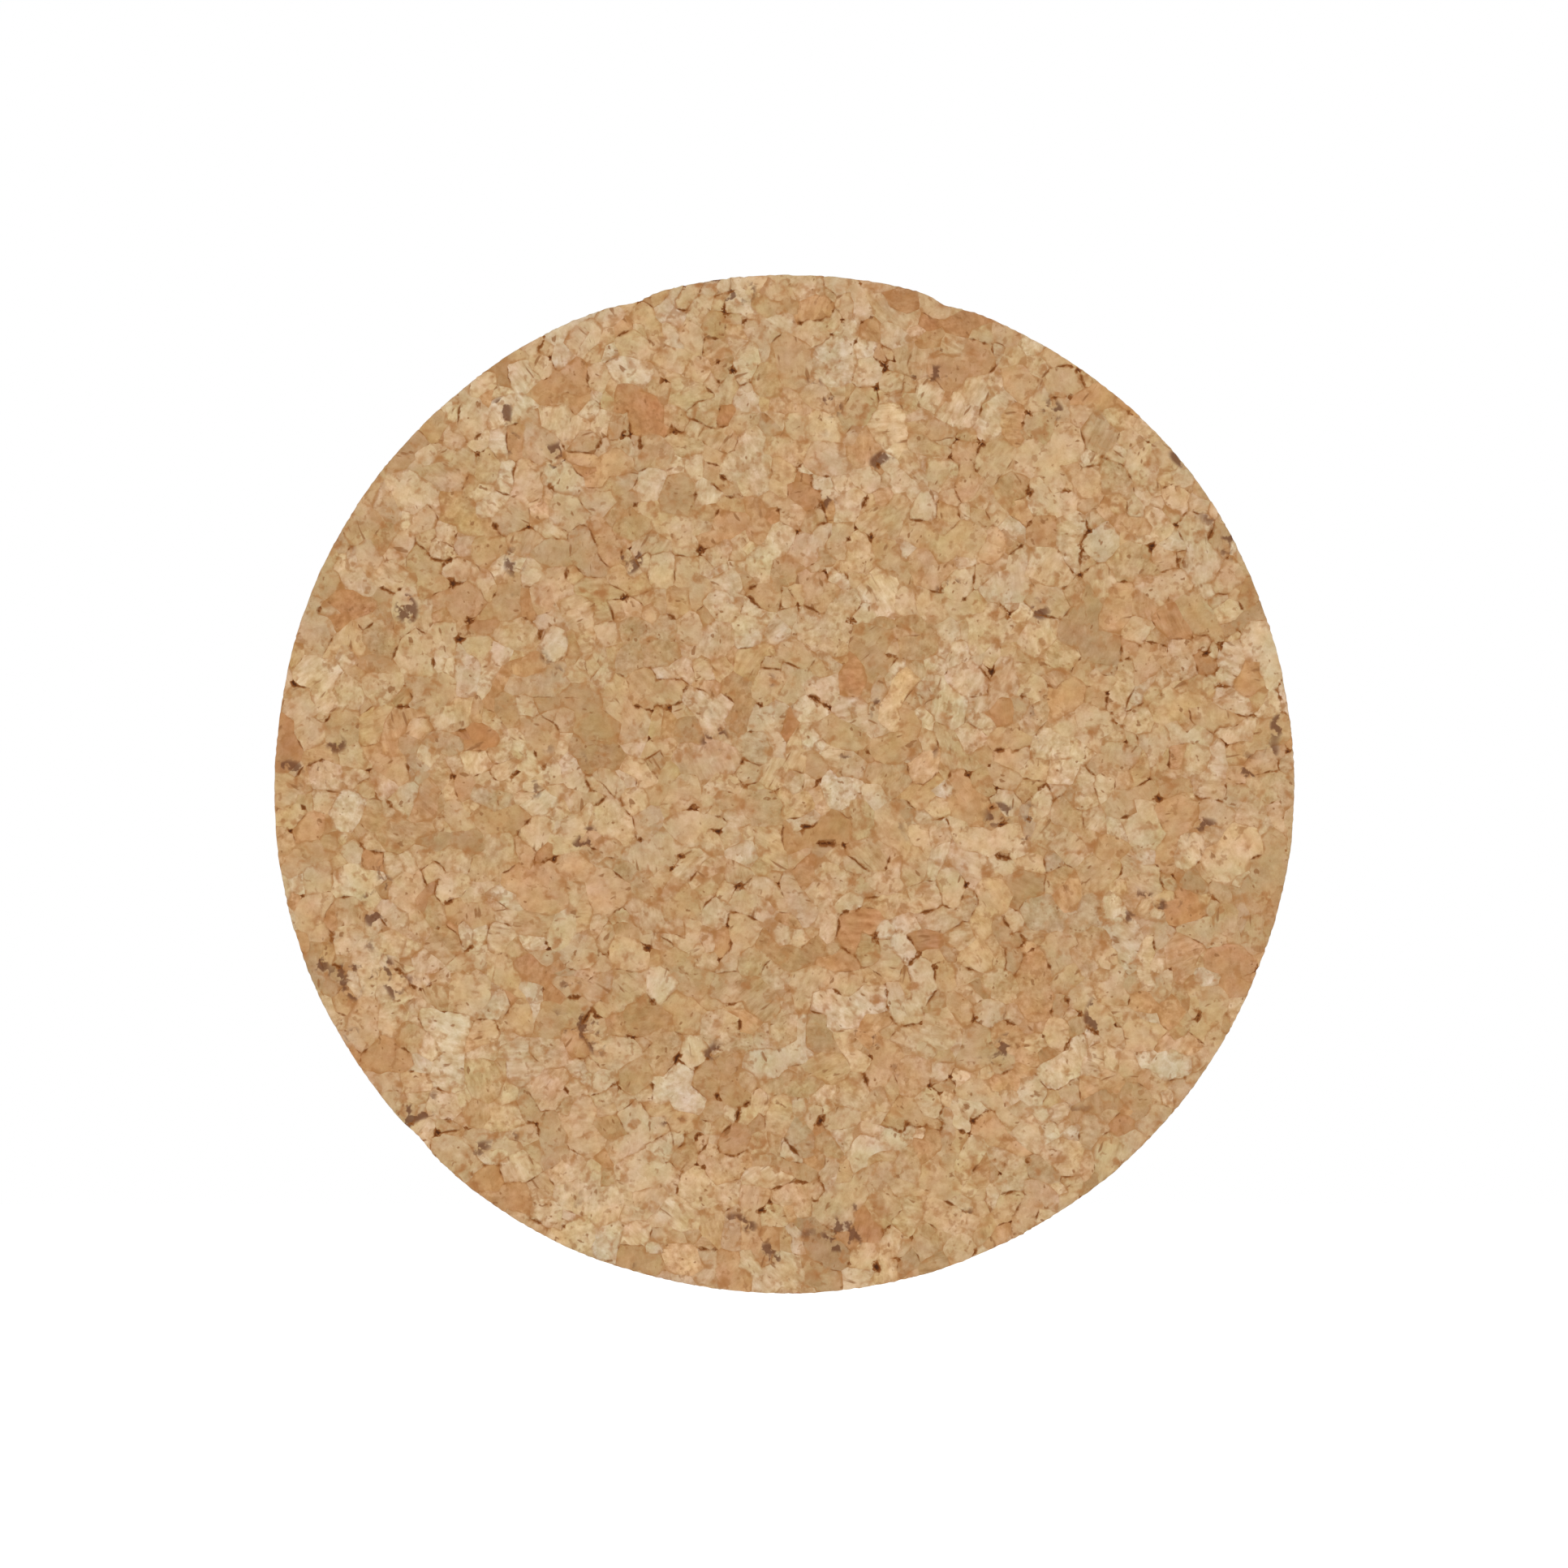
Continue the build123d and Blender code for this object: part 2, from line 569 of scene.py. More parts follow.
    def ease_slopes(self):
        """Draw in the heights of each facet that is too steep, pass by pass, until none is."""
        on_bend = self.off_bend(self.flat[self.faces].mean(axis=1)) < BEND_MARGIN
        steepest = np.where(on_bend, STEEPEST_ON_A_BEND, STEEPEST)
        a, b, c = (self.flat[k] for k in self.faces.T)
        across, along = b - a, c - a
        twice_area = across[:, 0] * along[:, 1] - across[:, 1] * along[:, 0]
        for _ in range(SLOPE_PASSES):
            heights = self.height[self.faces]
            rise, climb = heights[:, 1] - heights[:, 0], heights[:, 2] - heights[:, 0]
            slope = np.hypot(
                rise * along[:, 1] - climb * across[:, 1], climb * across[:, 0] - rise * along[:, 0]
            ) / np.abs(twice_area)
            steep = slope > steepest
            if not steep.any():
                break
            middle = heights[steep].mean(axis=1, keepdims=True)
            left = (SLOPE_LEFT * steepest / slope)[steep, None]
            eased = middle + (heights[steep] - middle) * left
            total, uses = np.zeros(len(self.flat)), np.zeros(len(self.flat))
            np.add.at(total, self.faces[steep], eased)
            np.add.at(uses, self.faces[steep], 1)
            moved = (uses > 0) & ~self.seam
            self.height[moved] = total[moved] / uses[moved]


# ---- wrapping the sheets round the board

class Board:
    """The disc's sizes, read from its CAD solid, and the map from a flat sheet to its surface."""

    def __init__(self, node):
        low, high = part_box(node)
        self.radius = max(-low.x, high.x, -low.z) / MM
        self.front = low.y / MM
        self.back = high.y / MM
        self.flat_radius = self.radius - RIM_ROUNDING
        self.bend_length = RIM_ROUNDING * math.pi / 2
        self.side_length = self.back - self.front - 2 * RIM_ROUNDING
        rng = np.random.default_rng(RIM_SEED)
        self.phases = rng.uniform(0, 2 * math.pi, len(RIM_WOBBLES))
        self.rough = wave_field(rng, RIM_ROUGHNESS_WAVE)

    def front_circles(self):
        """Where the front sheet turns onto the rim and then onto the back: its last is the seam."""
        bend, side, flat = self.bend_length, self.side_length, self.flat_radius
        turns = [0, bend / 2, bend, bend + side, 1.5 * bend + side, 2 * bend + side]
        return [flat + turn for turn in turns]

    def bend_zones(self):
        """The front sheet's two stretches that lie on a rounded edge."""
        start, length = self.flat_radius, self.bend_length
        return [(start + k, start + k + length) for k in (0, length + self.side_length)]

    def rim_shift(self, heading, depth):
        """How far the rim stands out of a true circle at each heading."""
        shift = sum(h * np.cos(n * heading + p) for (n, h), p in zip(RIM_WOBBLES, self.phases))
        for angle, deep, before, after in RIM_DENTS:
            turn = (heading - math.radians(angle) + math.pi) % (2 * math.pi) - math.pi
            arc = turn * self.radius
            width = np.where(arc < 0, before, after)
            shift = shift - deep * np.exp(-np.abs(arc / width) ** DENT_SHARPNESS)
        around = np.stack([heading * self.radius, depth], axis=1)
        return shift + RIM_ROUGHNESS * self.rough(around)

    def place(self, radial, depth, heading, normal_radial, normal_depth, height):
        """Points at these polar places, moved out by height and shifted with the rim."""
        rimward = np.clip(1 - (self.radius - radial) / RIM_SHIFT_DEPTH, 0, 1)
        rimward = rimward * rimward * (3 - 2 * rimward)
        radial = radial + rimward * self.rim_shift(heading, depth) + height * normal_radial
        y = self.front + depth + height * normal_depth
        return np.stack([radial * np.cos(heading), y, radial * np.sin(heading)], axis=1)

    def wrap_front(self, flat, height):
        """Lay the front sheet on the face, round the rim and up to the back's edge."""
        reach = np.hypot(flat[:, 0], flat[:, 1])
        heading = np.arctan2(flat[:, 1], flat[:, 0])
        past = reach - self.flat_radius
        first = np.clip(past / RIM_ROUNDING, 0, math.pi / 2)
        along = np.clip(past - self.bend_length, 0, self.side_length)
        past_side = past - self.bend_length - self.side_length
        second = np.clip(past_side / RIM_ROUNDING, 0, math.pi / 2)
        rounded = RIM_ROUNDING * (np.sin(first) + np.cos(second) - 1)
        radial = np.minimum(reach, self.flat_radius) + rounded
        depth = RIM_ROUNDING * (1 - np.cos(first) + np.sin(second)) + along
        turn = first + second
        return self.place(radial, depth, heading, np.sin(turn), -np.cos(turn), height)

    def wrap_back(self, flat, height):
        """Lay the back sheet on the back."""
        reach = np.hypot(flat[:, 0], flat[:, 1])
        heading = np.arctan2(flat[:, 1], flat[:, 0])
        depth = np.full(len(flat), self.back - self.front)
        return self.place(reach, depth, heading, 0.0, 1.0, height)


# ---- the cork piece

# Most granules' colour, and the other kinds of granule as (share, sRGB, spread of lightness)
TAN = (190.4, 156.2, 114.6)
GRANULE_KINDS = [
    (0.10, (201, 173, 135), 0.03),
    (0.12, (197, 162, 124), 0.06),
    (0.10, (190, 157, 113), 0.06),
    (0.09, (190, 147, 103), 0.06),
    (0.025, (180, 131, 87), 0.05),
    (0.006, (179, 151, 116), 0.04),
]

# How much warmth varies, and what it does to red, green and blue
WARMTH_SPREAD = 0.035
WARMTH = (0.5, 0.0, -1.0)

# A plain granule's tone: a lighter part, less a darker one that is drawn with a long tail
TONE_SPREAD = 0.1
LIGHTER = (1.14, 0.5)
DARKEST = 2.5

# What a tone does to red, green and blue, and how much more a dark tone does than a light one
TONE_POWERS = (1.0, 1.5, 2.2)
SKEW = 0.9


def linear(rgb):
    """An sRGB colour, 0 to 255, as linear light."""
    share = np.array(rgb, float) / 255
    return np.where(share <= 0.04045, share / 12.92, ((share + 0.055) / 1.055) ** 2.4)


def granule_looks(rng, count):
    """For each granule its colour, the direction of its streaks and an offset for its noise."""
    colours = np.tile(linear(TAN), (count, 1))
    draw = rng.random(count)
    lighter = rng.normal(*LIGHTER, count)
    darker = np.minimum(rng.exponential(1.0, count), DARKEST)
    tone = TONE_SPREAD * (lighter - darker)
    start = 0.0
    for share, rgb, spread in GRANULE_KINDS:
        chosen = (draw >= start) & (draw < start + share)
        colours[chosen] = linear(rgb)
        tone[chosen] = rng.normal(0, spread, chosen.sum())
        start += share
    colours *= np.exp(tone[:, None] * np.array(TONE_POWERS))
    warmth = rng.normal(0, WARMTH_SPREAD, (count, 1)) * np.array(WARMTH)
    colours *= np.exp(warmth)
    fibre = rng.normal(size=(count, 3))
    fibre /= np.linalg.norm(fibre, axis=1)[:, None]
    return colours, fibre, rng.uniform(0, 50, (count, 3))


def add_attribute(mesh, name, kind, domain, field, values):
    attribute = mesh.attributes.new(name, kind, domain)
    attribute.data.foreach_set(field, np.ascontiguousarray(values, np.float32).ravel())


def paint_granules(mesh, faces, sheets):
    """Give the mesh what the cork material reads from each of its faces and points."""
    looks = [granule_looks(sheet.rng, len(sheet.centres)) for sheet in sheets]
    tint, fibre, offset = (
        np.concatenate([look[k][sheet.face_granule] for look, sheet in zip(looks, sheets)])
        for k in range(3)
    )
    tint = np.hstack([tint, np.ones((len(faces), 1))])
    soft_tint = np.zeros((len(mesh.vertices), 4))
    for corner in faces.T:
        np.add.at(soft_tint, corner, tint)
    soft_tint /= np.maximum(soft_tint[:, 3:], 1)
    dark = np.concatenate([sheet.dark for sheet in sheets])
    edge_gap = np.concatenate([sheet.edge_gap for sheet in sheets])
    add_attribute(mesh, "granule_tint", "FLOAT_COLOR", "FACE", "color", tint)
    add_attribute(mesh, "soft_tint", "FLOAT_COLOR", "POINT", "color", soft_tint)
    add_attribute(mesh, "granule_fibre", "FLOAT_VECTOR", "FACE", "vector", fibre)
    add_attribute(mesh, "granule_offset", "FLOAT_VECTOR", "FACE", "vector", offset)
    # How much painted shade each point of a crack or pit gets
    add_attribute(mesh, "dark", "FLOAT", "POINT", "value", dark)
    add_attribute(mesh, "edge_gap", "FLOAT", "POINT", "value", edge_gap)


def closed_piece(name, mesh, edge_angle, sewing_distance=0.0):
    """The mesh as a piece: sewn where its points meet, faced outwards and smoothly shaded."""
    solid = bmesh.new()
    solid.from_mesh(mesh)
    if sewing_distance:
        bmesh.ops.remove_doubles(solid, verts=solid.verts, dist=sewing_distance * MM)
    bmesh.ops.recalc_face_normals(solid, faces=solid.faces)
    solid.to_mesh(mesh)
    solid.free()
    mesh.shade_smooth()
    mesh.set_sharp_from_angle(angle=math.radians(edge_angle))
    return placed(name, mesh)


def make_cork(name, board):
    """The cork disc as one closed mesh, sewn together along the edge of its back."""
    front = Sheet(FRONT_SEED, board.front_circles(), board.bend_zones(), FRONT_SEGMENT, FRONT_GRID)
    back = Sheet(BACK_SEED, [board.flat_radius], [], BACK_SEGMENT, BACK_GRID)
    points = np.concatenate(
        [board.wrap_front(front.flat, front.height), board.wrap_back(back.flat, back.height)]
    )
    faces = np.concatenate([front.faces, back.faces[:, ::-1] + len(front.flat)])
    mesh = bpy.data.meshes.new(name)
    mesh.from_pydata((points * MM).tolist(), [], faces.tolist())
    paint_granules(mesh, faces, (front, back))
    return closed_piece(name, mesh, CORK_EDGE_ANGLE, SEWING_DISTANCE)


# ---- foam tape and its liners

# Of each: its rounded corners, and how far apart the points of its outline and its faces are
PAD_CORNER = 1.0
PAD_SPACING = 0.22
PAD_GRID = 2.0
LINER_CORNER = 2.0
LINER_SPACING = 0.5
LINER_GRID = 0.7

# The foam's cut edge: its points through the thickness, its burst cells and its slower waves
PAD_LEVELS = 7
PAD_ROUGHNESS = 0.05
FOAM_CELL = 0.7
FOAM_WAVE = 6.0

# The liner's free tab: how far it lifts, how unevenly from side to side, and its ripples
LINER_TAB = 5.0
LINER_CURL = 0.55
LINER_SLANT = 0.35
LINER_RIPPLE = 0.018
LINER_WAVE = 5.0


def rounded_outline(low, high, corner, spacing):
    """Points round a rectangle with rounded corners, anticlockwise."""
    points = []
    for cx, cy, start in (
        (high[0] - corner, low[1] + corner, -90),
        (high[0] - corner, high[1] - corner, 0),
        (low[0] + corner, high[1] - corner, 90),
        (low[0] + corner, low[1] + corner, 180),
    ):
        steps = max(4, round(corner * math.pi / 2 / spacing))
        for k in range(steps + 1):
            angle = math.radians(start + 90 * k / steps)
            points.append((cx + corner * math.cos(angle), cy + corner * math.sin(angle)))
    outline = []
    for (ax, ay), (bx, by) in zip(points, points[1:] + points[:1]):
        steps = max(1, round(math.dist((ax, ay), (bx, by)) / spacing))
        outline += [(ax + (bx - ax) * k / steps, ay + (by - ay) * k / steps) for k in range(steps)]
    return np.array(outline)


def make_slab(name, outline, spacing, levels, push):
    """A closed slab. levels are functions from flat points to y, from the front of the slab to
    its back, and push(flat, level) says how far the edge stands out there."""
    rim = len(outline)
    low, high = outline.min(axis=0), outline.max(axis=0)
    across = [np.arange(low[k] + spacing / 2, high[k], spacing) for k in (0, 1)]
    grid = np.stack(np.meshgrid(*across), axis=-1).reshape(-1, 2)
    edges = np.roll(outline, -1, axis=0) - outline
    inward = np.stack([-edges[:, 1], edges[:, 0]], axis=1)
    inward /= np.linalg.norm(edges, axis=1)[:, None]
    apart = ((grid[:, None, :] - outline[None, :, :]) * inward).sum(axis=2).min(axis=1)
    grid = grid[apart > spacing / 2]
    flat = np.concatenate([outline, grid])
    sides = [(k, (k + 1) % rim) for k in range(rim)]
    verts, _, faces, *_ = delaunay_2d_cdt([Vector(p) for p in flat], sides, [], 1, 1e-5, False)
    flat = np.array([(v.x, v.y) for v in verts])
    outward = np.roll(outline, -1, axis=0) - np.roll(outline, 1, axis=0)
    outward = np.stack([outward[:, 1], -outward[:, 0]], axis=1)
    outward /= np.linalg.norm(outward, axis=1)[:, None]
    points, rings = [], []

    def add(flat_points, y):
        first = len(points)
        points.extend(np.stack([flat_points[:, 0], y, flat_points[:, 1]], axis=1).tolist())
        return first

    for number, level in enumerate(levels):
        pushed = flat[:rim] + outward * push(flat[:rim], number)[:, None]
        if number in (0, len(levels) - 1):
            cap = np.concatenate([pushed, flat[rim:]])
            rings.append(add(cap, level(cap)))
        else:
            rings.append(add(pushed, level(pushed)))
    all_faces = [tuple(rings[0] + k for k in face) for face in faces]
    all_faces += [tuple(rings[-1] + k for k in reversed(face)) for face in faces]
    for a, b in zip(rings, rings[1:]):
        all_faces += [(a + k, b + k, b + (k + 1) % rim, a + (k + 1) % rim) for k in range(rim)]
    mesh = bpy.data.meshes.new(name)
    mesh.from_pydata((np.array(points) * MM).tolist(), [], all_faces)
    return closed_piece(name, mesh, SLAB_EDGE_ANGLE)


def node_rectangle(node):
    """A CAD node's lowest and highest corners in millimetres: as (x, z) each, and its two y."""
    low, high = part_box(node)
    return (low.x / MM, low.z / MM), (high.x / MM, high.z / MM), low.y / MM, high.y / MM


def make_pad(corner_name, seed):
    """One square of foam tape: its cut edge shows the burst cells of the foam."""
    low, high, front, back = node_rectangle(f"foam_pad_{corner_name}")
    outline = rounded_outline(low, high, PAD_CORNER, PAD_SPACING)
    rng = np.random.default_rng(seed)
    cells = [wave_field(rng, FOAM_CELL) for _ in range(PAD_LEVELS)]
    drift = wave_field(rng, FOAM_WAVE)
    ys = np.linspace(front, back, PAD_LEVELS)
    levels = [lambda flat, y=y: np.full(len(flat), y) for y in ys]

    def push(flat, number):
        inner = 0 < number < PAD_LEVELS - 1
        return PAD_ROUGHNESS * (0.8 * drift(flat) + (cells[number](flat) - 0.6 if inner else -0.6))

    return make_slab(f"foam_tape_{corner_name}", outline, PAD_GRID, levels, push)


def make_liner(corner_name, seed):
    """One release liner: flat on its foam, with a free tab that lifts a little off the wall."""
    low, high, front, back = node_rectangle(f"release_liner_{corner_name}")
    outline = rounded_outline(low, high, LINER_CORNER, LINER_SPACING)
    rng = np.random.default_rng(seed)
    ripple = wave_field(rng, LINER_WAVE)
    curl = LINER_CURL * rng.uniform(0.7, 1.0)
    slant = rng.uniform(-LINER_SLANT, LINER_SLANT)
    middle, half_width = (low[0] + high[0]) / 2, (high[0] - low[0]) / 2

    def lift(flat):
        free = np.clip(1 - (flat[:, 1] - low[1]) / LINER_TAB, 0, 1)
        skew = 1 + slant * (flat[:, 0] - middle) / half_width
        return free**2 * curl * skew + LINER_RIPPLE * ripple(flat) * free

    def push(flat, number):
        return np.zeros(len(flat))

    levels = [lambda flat, y=y: y - lift(flat) for y in (front, back)]
    return make_slab(f"liner_{corner_name}", outline, LINER_GRID, levels, push)


# ---- materials

class Graph:
    """A material's nodes, with one call for each node. A value may be a number or an output."""

    def __init__(self, name):
        self.material = bpy.data.materials.new(name)
        self.material.use_nodes = True
        self.tree = self.material.node_tree
        self.shader = self.tree.nodes["Principled BSDF"]

    def feed(self, socket, value):
        if isinstance(value, bpy.types.NodeSocket):
            self.tree.links.new(value, socket)
        else:
            socket.default_value = value

    def node(self, kind, inputs, output=0, **settings):
        node = self.tree.nodes.new("ShaderNode" + kind)
        for key, value in settings.items():
            setattr(node, key, value)
        for key, value in inputs.items():
            self.feed(node.inputs[key], value)
        return node.outputs[output]

    def math(self, operation, a, b=0.0):
        return self.node("Math", {0: a, 1: b}, operation=operation)

    def times(self, a, b):
        return self.math("MULTIPLY", a, b)

    def vector(self, operation, a, b):
        return self.node("VectorMath", {0: a, 1: b}, operation=operation)

    def dot(self, a, b):
        return self.node("VectorMath", {0: a, 1: b}, "Value", operation="DOT_PRODUCT")

    def scaled(self, a, factor):
        return self.node("VectorMath", {0: a, "Scale": factor}, operation="SCALE")

    def swing(self, value):
        """A value from 0 to 1 as a swing about zero."""
        return self.math("SUBTRACT", value, 0.5)

    def total(self, *terms):
        """The sum of (weight, value) terms."""
        result = 0.0
        for weight, value in terms:
            result = self.math("ADD", result, self.times(value, weight))
        return result

    def mix(self, factor, a, b, blend="MIX"):
        return self.node("Mix", {0: factor, 6: a, 7: b}, 2, data_type="RGBA", blend_type=blend)

    def paint(self, share, colour, rgb):
        """The colour with this share of another over it."""
        return self.mix(share, colour, rgba(rgb))

    def noise(self, vector, scale, detail=2.0, roughness=0.5, output=0):
        inputs = {"Vector": vector, "Scale": scale, "Detail": detail, "Roughness": roughness}
        return self.node("TexNoise", inputs, output)

    def cells(self, vector, scale, output="Color", feature="F1"):
        inputs = {"Vector": vector, "Scale": scale}
        return self.node("TexVoronoi", inputs, output, feature=feature)

    def step(self, value, low, high, bottom=0.0, top=1.0):
        """A smooth rise from bottom to top as value goes from low to high."""
        inputs = {"Value": value, "From Min": low, "From Max": high, "To Min": bottom, "To Max": top}
        return self.node("MapRange", inputs, interpolation_type="SMOOTHSTEP")

    def attribute(self, name, output):
        return self.node("Attribute", {}, output, attribute_name=name)

    def millimetres(self):
        """The place on the piece, in millimetres of its own frame."""
        return self.scaled(self.node("TexCoord", {}, "Object"), 1 / MM)

    def bump(self, height, distance):
        inputs = {"Height": height, "Distance": distance * MM, "Strength": 1.0}
        self.feed(self.shader.inputs["Normal"], self.node("Bump", inputs))

    def finished(self, colour, roughness, specular):
        """The material, with its colour and with its finish on the shader's own sockets."""
        self.feed(self.shader.inputs["Base Color"], colour)
        self.shader.inputs["Roughness"].default_value = roughness
        self.shader.inputs["Specular IOR Level"].default_value = specular
        return self.material


def rgba(rgb):
    return (*linear(rgb), 1.0)


# What darkens the cork: from the palest stain, which is its own colour, to the painted shade of
# cracks and pits, darkest at the floor of a pit
STAIN = (172, 120, 70)
BLOTCH = (160, 104, 56)
HAIRLINE = (156, 106, 60)
OUTLINE = (160, 108, 58)
SPECK = (142, 94, 52)
BARK = (104, 62, 38)
# Painted shade in the cracks and pits, darkest at a pit's floor
CRACK_SHADE = (144, 88, 38)
PIT_SHADE = (112, 58, 16)
PIT_FLOOR_SHADE = (66, 34, 14)


def cork_material():
    """Cork: each granule has its own tan, streaks and mottling; cracks and pits get painted brown
    shade.
    """
    g = Graph("cork")
    place = g.millimetres()
    offset = g.attribute("granule_offset", "Vector")
    own = g.vector("ADD", place, offset)
    fibre = g.attribute("granule_fibre", "Vector")
    squeeze = g.times(g.dot(own, fibre), -0.82)
    streaked = g.vector("ADD", own, g.scaled(fibre, squeeze))
    warped = g.vector("ADD", place, g.scaled(g.noise(place, 0.8, 3.0, 0.5, "Color"), 1.8))

    ringed = g.step(g.noise(offset, 1.0, 0.0), 0.4, 0.62, 0.25, 1.0)
    streaks = g.times(g.swing(g.noise(streaked, 1.3, 2.0, 0.55)), ringed)
    grain = g.swing(g.noise(place, 3.0, 2.0, 0.6))
    pores = g.swing(g.noise(streaked, 6.0, 2.0, 0.6))
    crumbled = g.step(g.noise(place, 0.16, 1.0), 0.38, 0.6, 0.35, 1.0)
    tone = g.total(
        (0.1, g.swing(g.noise(place, 0.055, 1.0))),
        (0.7, streaks),
        (0.46, g.swing(g.noise(own, 0.7, 3.0, 0.55))),
        (0.13, grain),
        (0.13, pores),
        (0.19, g.times(g.swing(g.cells(warped, 0.55)), crumbled)),
    )
    colour = shaded_granules(g, tone, place, own, warped)
    colour = stained(g, colour, place, own, streaked, warped)
    # Painted shade in the cracks and pits
    colour = painted_crack_shade(g, colour, place)
    g.bump(g.total((0.5, grain), (0.5, streaks), (0.3, pores)), 0.1)
    return g.finished(colour, 0.86, 0.22)


def shaded_granules(g, tone, place, own, warped):
    """Each granule's tint, in places blended with its neighbours', then shaded by tone."""
    tone = g.math("SUBTRACT", tone, g.times(g.times(tone, tone), SKEW))
    tone = g.math("EXPONENT", tone)
    powers = {k: g.math("POWER", tone, power) for k, power in enumerate(TONE_POWERS)}
    shade = g.node("CombineColor", powers)
    blended = g.step(g.noise(place, 0.4, 1.0), 0.42, 0.7, 0.05, 0.7)
    tint = g.mix(blended, g.attribute("granule_tint", "Color"), g.attribute("soft_tint", "Color"))
    colour = g.mix(1.0, tint, shade, "MULTIPLY")
    redness = g.times(g.swing(g.noise(warped, 0.2)), 0.3)
    blueness = g.times(g.swing(g.noise(own, 0.25)), 0.45)
    hues = {0: g.math("EXPONENT", redness), 1: 1.0, 2: g.math("EXPONENT", blueness)}
    return g.mix(1.0, colour, g.node("CombineColor", hues), "MULTIPLY")


def stained(g, colour, place, own, streaked, warped):
    """The cork's brown stains, hairlines, darker granule edges, specks and bits of bark."""
    gap = g.attribute("edge_gap", "Fac")
    stain = g.math("SUBTRACT", g.noise(warped, 0.6), g.times(gap, 0.06))
    colour = g.paint(g.step(stain, 0.45, 0.75, 0.0, 0.72), colour, STAIN)
    blotch = g.step(g.noise(warped, 0.3, 2.0, 0.55), 0.55, 0.77, 0.0, 0.75)
    colour = g.paint(blotch, colour, BLOTCH)
    edge = g.cells(warped, 0.55, "Distance", "DISTANCE_TO_EDGE")
    reach = g.step(g.noise(place, 0.6, 2.0, 0.6), 0.52, 0.72, 0.0, 0.28)
    hairline = g.step(g.math("SUBTRACT", reach, edge), 0.0, 0.2, 0.0, 0.55)
    colour = g.paint(hairline, colour, HAIRLINE)
    reach = g.step(g.noise(own, 0.45, 3.0, 0.6), 0.42, 0.7, 0.0, 0.5)
    outline = g.step(g.math("SUBTRACT", reach, gap), -0.1, 0.4, 0.0, 0.68)
    colour = g.paint(outline, colour, OUTLINE)
    specks = g.step(g.noise(streaked, 1.1, 1.5), 0.66, 0.74, 0.0, 0.8)
    colour = g.paint(specks, colour, SPECK)
    barky = g.step(g.noise(place, 0.13, 1.0), 0.66, 0.72)
    bark = g.times(barky, g.step(g.noise(warped, 0.55), 0.5, 0.6))
    return g.paint(g.times(bark, 0.85), colour, BARK)


def painted_crack_shade(g, colour, place):
    """Painted brown shade in the cracks and pits, deeper where the mesh says that they are darker."""
    frayed = g.step(g.noise(place, 1.8), 0.3, 0.6, 0.35, 1.3)
    # depth here is how much painted shade falls in a crack or pit
    depth = g.times(g.attribute("dark", "Fac"), frayed)
    colour = g.paint(g.step(depth, 0.0, 0.5, 0.0, 0.95), colour, CRACK_SHADE)
    colour = g.paint(g.step(depth, 0.35, 1.1, 0.0, 0.9), colour, PIT_SHADE)
    return g.paint(g.step(depth, 0.9, 1.6, 0.0, 0.8), colour, PIT_FLOOR_SHADE)


def foam_material():
    """White closed-cell foam: fine burst bubbles on the cut edge, with painted shade in their
    hollows.
    """
    g = Graph("foam_tape")
    place = g.millimetres()
    bubbles = g.cells(place, 5.5, "Distance")
    soiled = g.noise(place, 0.5, 3.0, 0.6)
    # Painted shade: each bubble's hollow middle is a little darker
    colour = g.mix(g.step(bubbles, 0.1, 0.7), rgba((222, 221, 214)), rgba((243, 243, 239)))
    colour = g.paint(g.step(soiled, 0.5, 0.8, 0.0, 0.35), colour, (214, 207, 190))
    g.bump(bubbles, 0.12)
    return g.finished(colour, 0.7, 0.3)


def liner_material():
    """Silicone-coated liner paper: ivory, faintly cloudy, with a low sheen."""
    g = Graph("liner_paper")
    place = g.millimetres()
    cloud = g.noise(place, 0.35, 4.0, 0.6)
    fibres = g.noise(g.vector("MULTIPLY", place, (1.0, 1.0, 0.22)), 3.0, 3.0, 0.6)
    colour = g.mix(g.step(cloud, 0.3, 0.7), rgba((226, 214, 184)), rgba((238, 230, 207)))
    colour = g.paint(g.step(fibres, 0.55, 0.8, 0.0, 0.3), colour, (205, 189, 152))
    g.bump(g.total((1.0, cloud), (0.3, fibres)), 0.1)
    return g.finished(colour, 0.38, 0.45)


def floor_material():
    """A white floor that runs into the white backdrop without an edge."""
    g = Graph("studio_floor")
    cloud = g.noise(g.millimetres(), 0.004)
    colour = g.mix(cloud, rgba((246, 246, 246)), rgba((250, 250, 250)))
    g.shader.inputs["Emission Color"].default_value = (1, 1, 1, 1)
    seen = g.node("LightPath", {}, "Is Camera Ray")
    g.feed(g.shader.inputs["Emission Strength"], g.times(seen, FLOOR_GLOW))
    return g.finished(colour, 0.9, 0.5)


# ---- studio

FLOOR_DROP = 0.45
FLOOR_SIZE = 8.0
FLOOR_GLOW = 0.55
AMBIENT = 0.6
CAMERA_LENS = 100.0
CAMERA_SENSOR = 36.0
DISC_SHARE_OF_FRAME = 0.6508

# Lights: where they stand, their side, and their power
LIGHTS = {
    "key": ((-0.9, -1.5, 1.2), 1.1, 15.5),
    "fill": ((1.3, -1.3, 0.2), 1.4, 6.2),
    "back_key": ((1.0, 1.4, 1.1), 1.2, 14.0),
    "back_fill": ((-1.3, 1.2, 0.3), 1.4, 5.0),
}


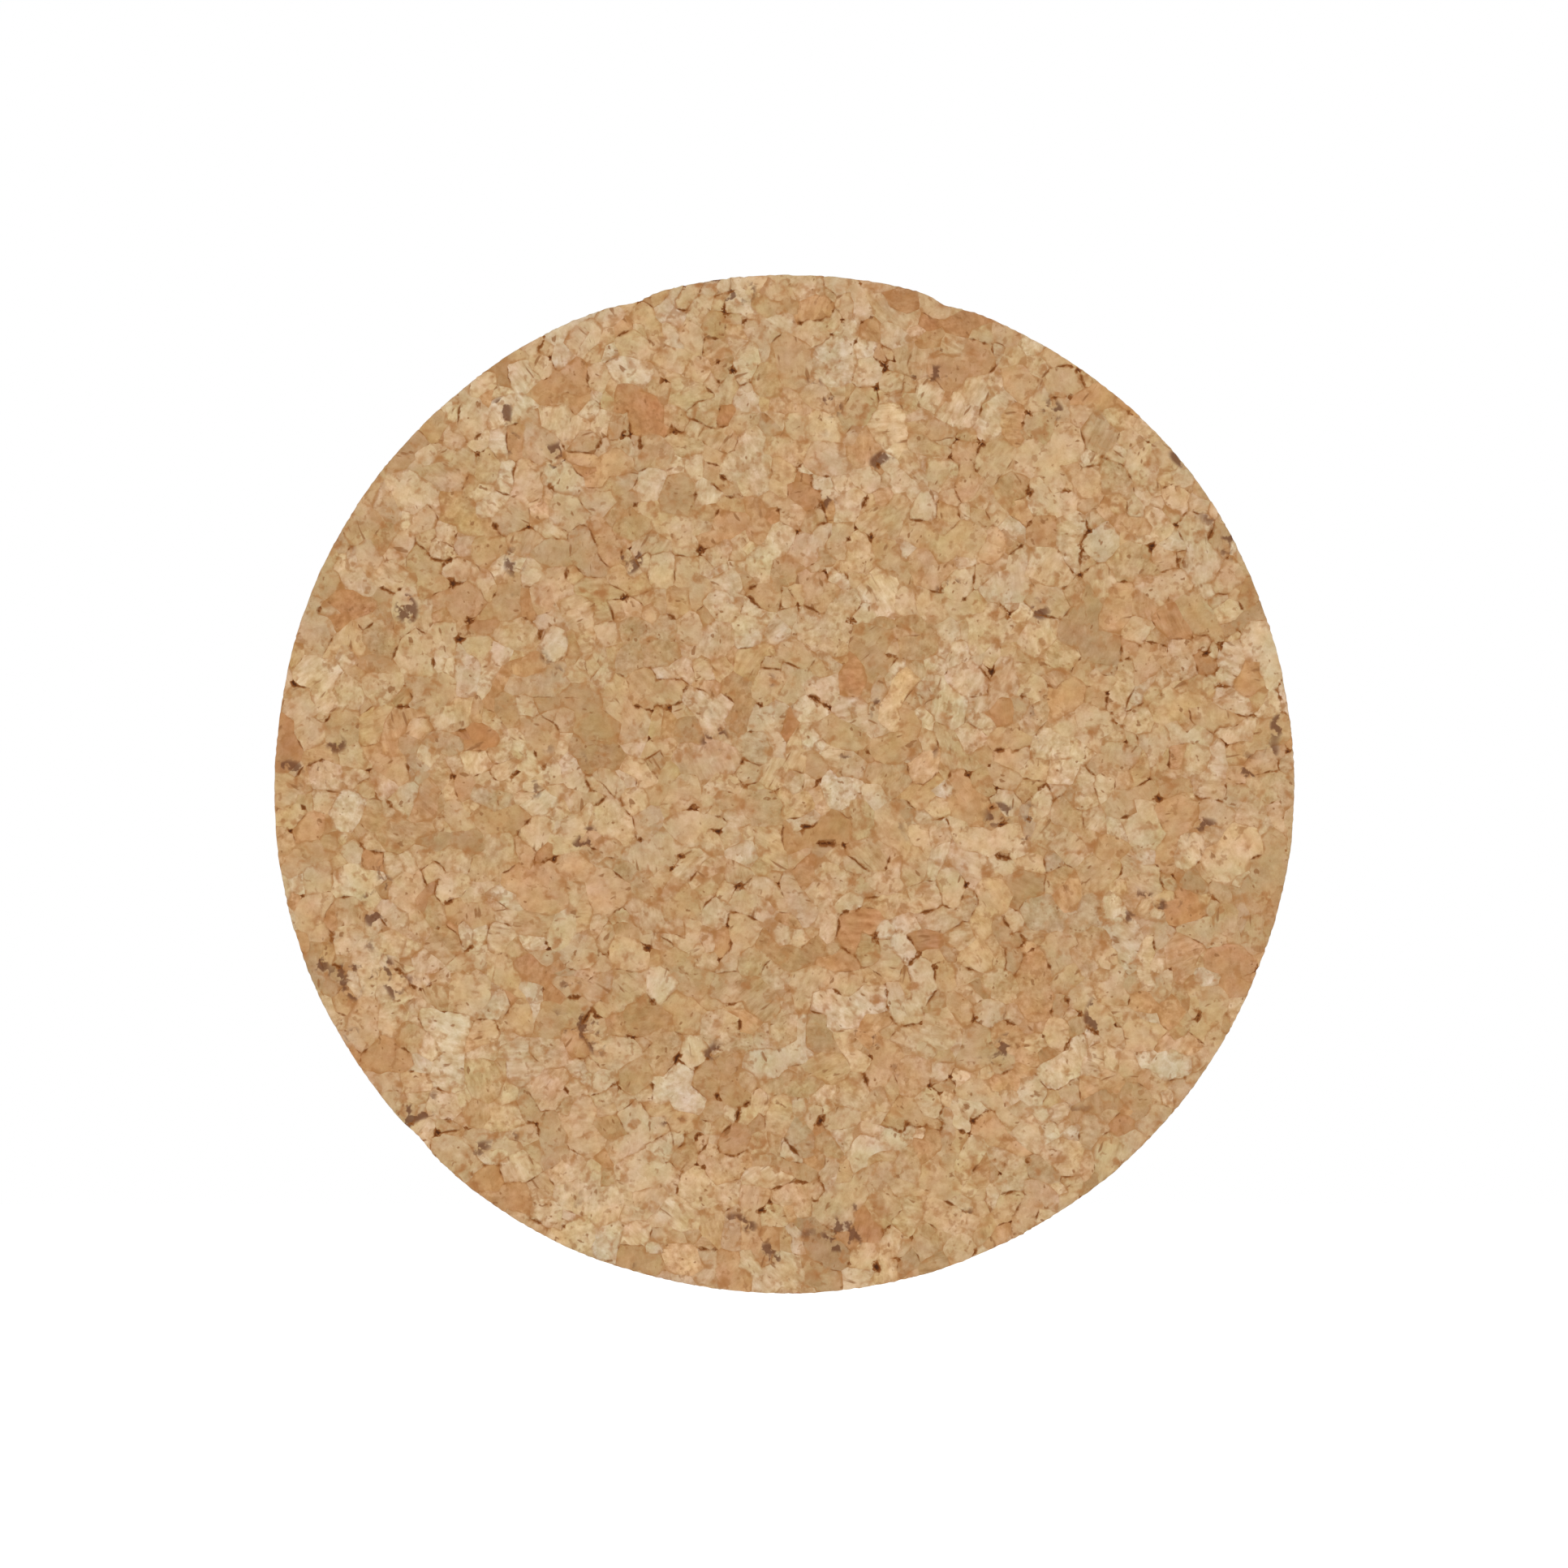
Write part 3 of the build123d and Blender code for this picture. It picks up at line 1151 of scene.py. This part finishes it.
def make_world():
    """Even light all round, in front of a white backdrop."""
    world = bpy.data.worlds.new("studio")
    bpy.context.scene.world = world
    world.use_nodes = True
    nodes, links = world.node_tree.nodes, world.node_tree.links
    seen = nodes.new("ShaderNodeLightPath")
    strength = nodes.new("ShaderNodeMapRange")
    strength.inputs["To Min"].default_value = AMBIENT
    strength.inputs["To Max"].default_value = 1.0
    links.new(seen.outputs["Is Camera Ray"], strength.inputs["Value"])
    links.new(strength.outputs["Result"], nodes["Background"].inputs["Strength"])
    nodes["Background"].inputs["Color"].default_value = (1, 1, 1, 1)


def make_lights(target):
    for name, (place, side, power) in LIGHTS.items():
        lamp = placed(name, bpy.data.lights.new(name, "AREA"))
        lamp.data.size = side
        lamp.data.energy = power
        lamp.location = place
        lamp.rotation_euler = (target - lamp.location).to_track_quat("-Z", "Y").to_euler()


def make_floor(material):
    mesh = bpy.data.meshes.new("floor")
    half = FLOOR_SIZE / 2
    corners = [(-half, -half), (half, -half), (half, half), (-half, half)]
    mesh.from_pydata([(x, y, -FLOOR_DROP) for x, y in corners], [], [(0, 1, 2, 3)])
    mesh.materials.append(material)
    floor = placed("floor", mesh)


def make_camera(board):
    """Square on to the face, as far back as makes the disc its share of the frame's width."""
    camera = placed("camera", bpy.data.cameras.new("camera"))
    camera.data.lens = CAMERA_LENS
    camera.data.sensor_width = CAMERA_SENSOR
    frame_width = 2 * board.radius * MM / DISC_SHARE_OF_FRAME
    distance = frame_width * CAMERA_LENS / CAMERA_SENSOR
    camera.location = (0, board.front * MM - distance, 0)
    camera.rotation_euler = (math.pi / 2, 0, 0)
    bpy.context.scene.camera = camera


# ---- the scene

board = Board("cork_disc")

cork = make_cork("cork_board", board)
cork.data.materials.append(cork_material())
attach(cork, "root")
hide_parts("cork_disc")

foam = foam_material()
paper = liner_material()
for number, corner in enumerate(CORNERS):
    pad = make_pad(corner, PAD_SEED + number)
    pad.data.materials.append(foam)
    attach(pad, "root")
    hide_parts(f"foam_pad_{corner}")
    liner = make_liner(corner, LINER_SEED + number)
    liner.data.materials.append(paper)
    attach(liner, "root")
    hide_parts(f"release_liner_{corner}")

make_world()
make_lights(Vector((0, 0, 0)))
make_floor(floor_material())
make_camera(board)
bpy.context.scene.view_settings.view_transform = "Standard"
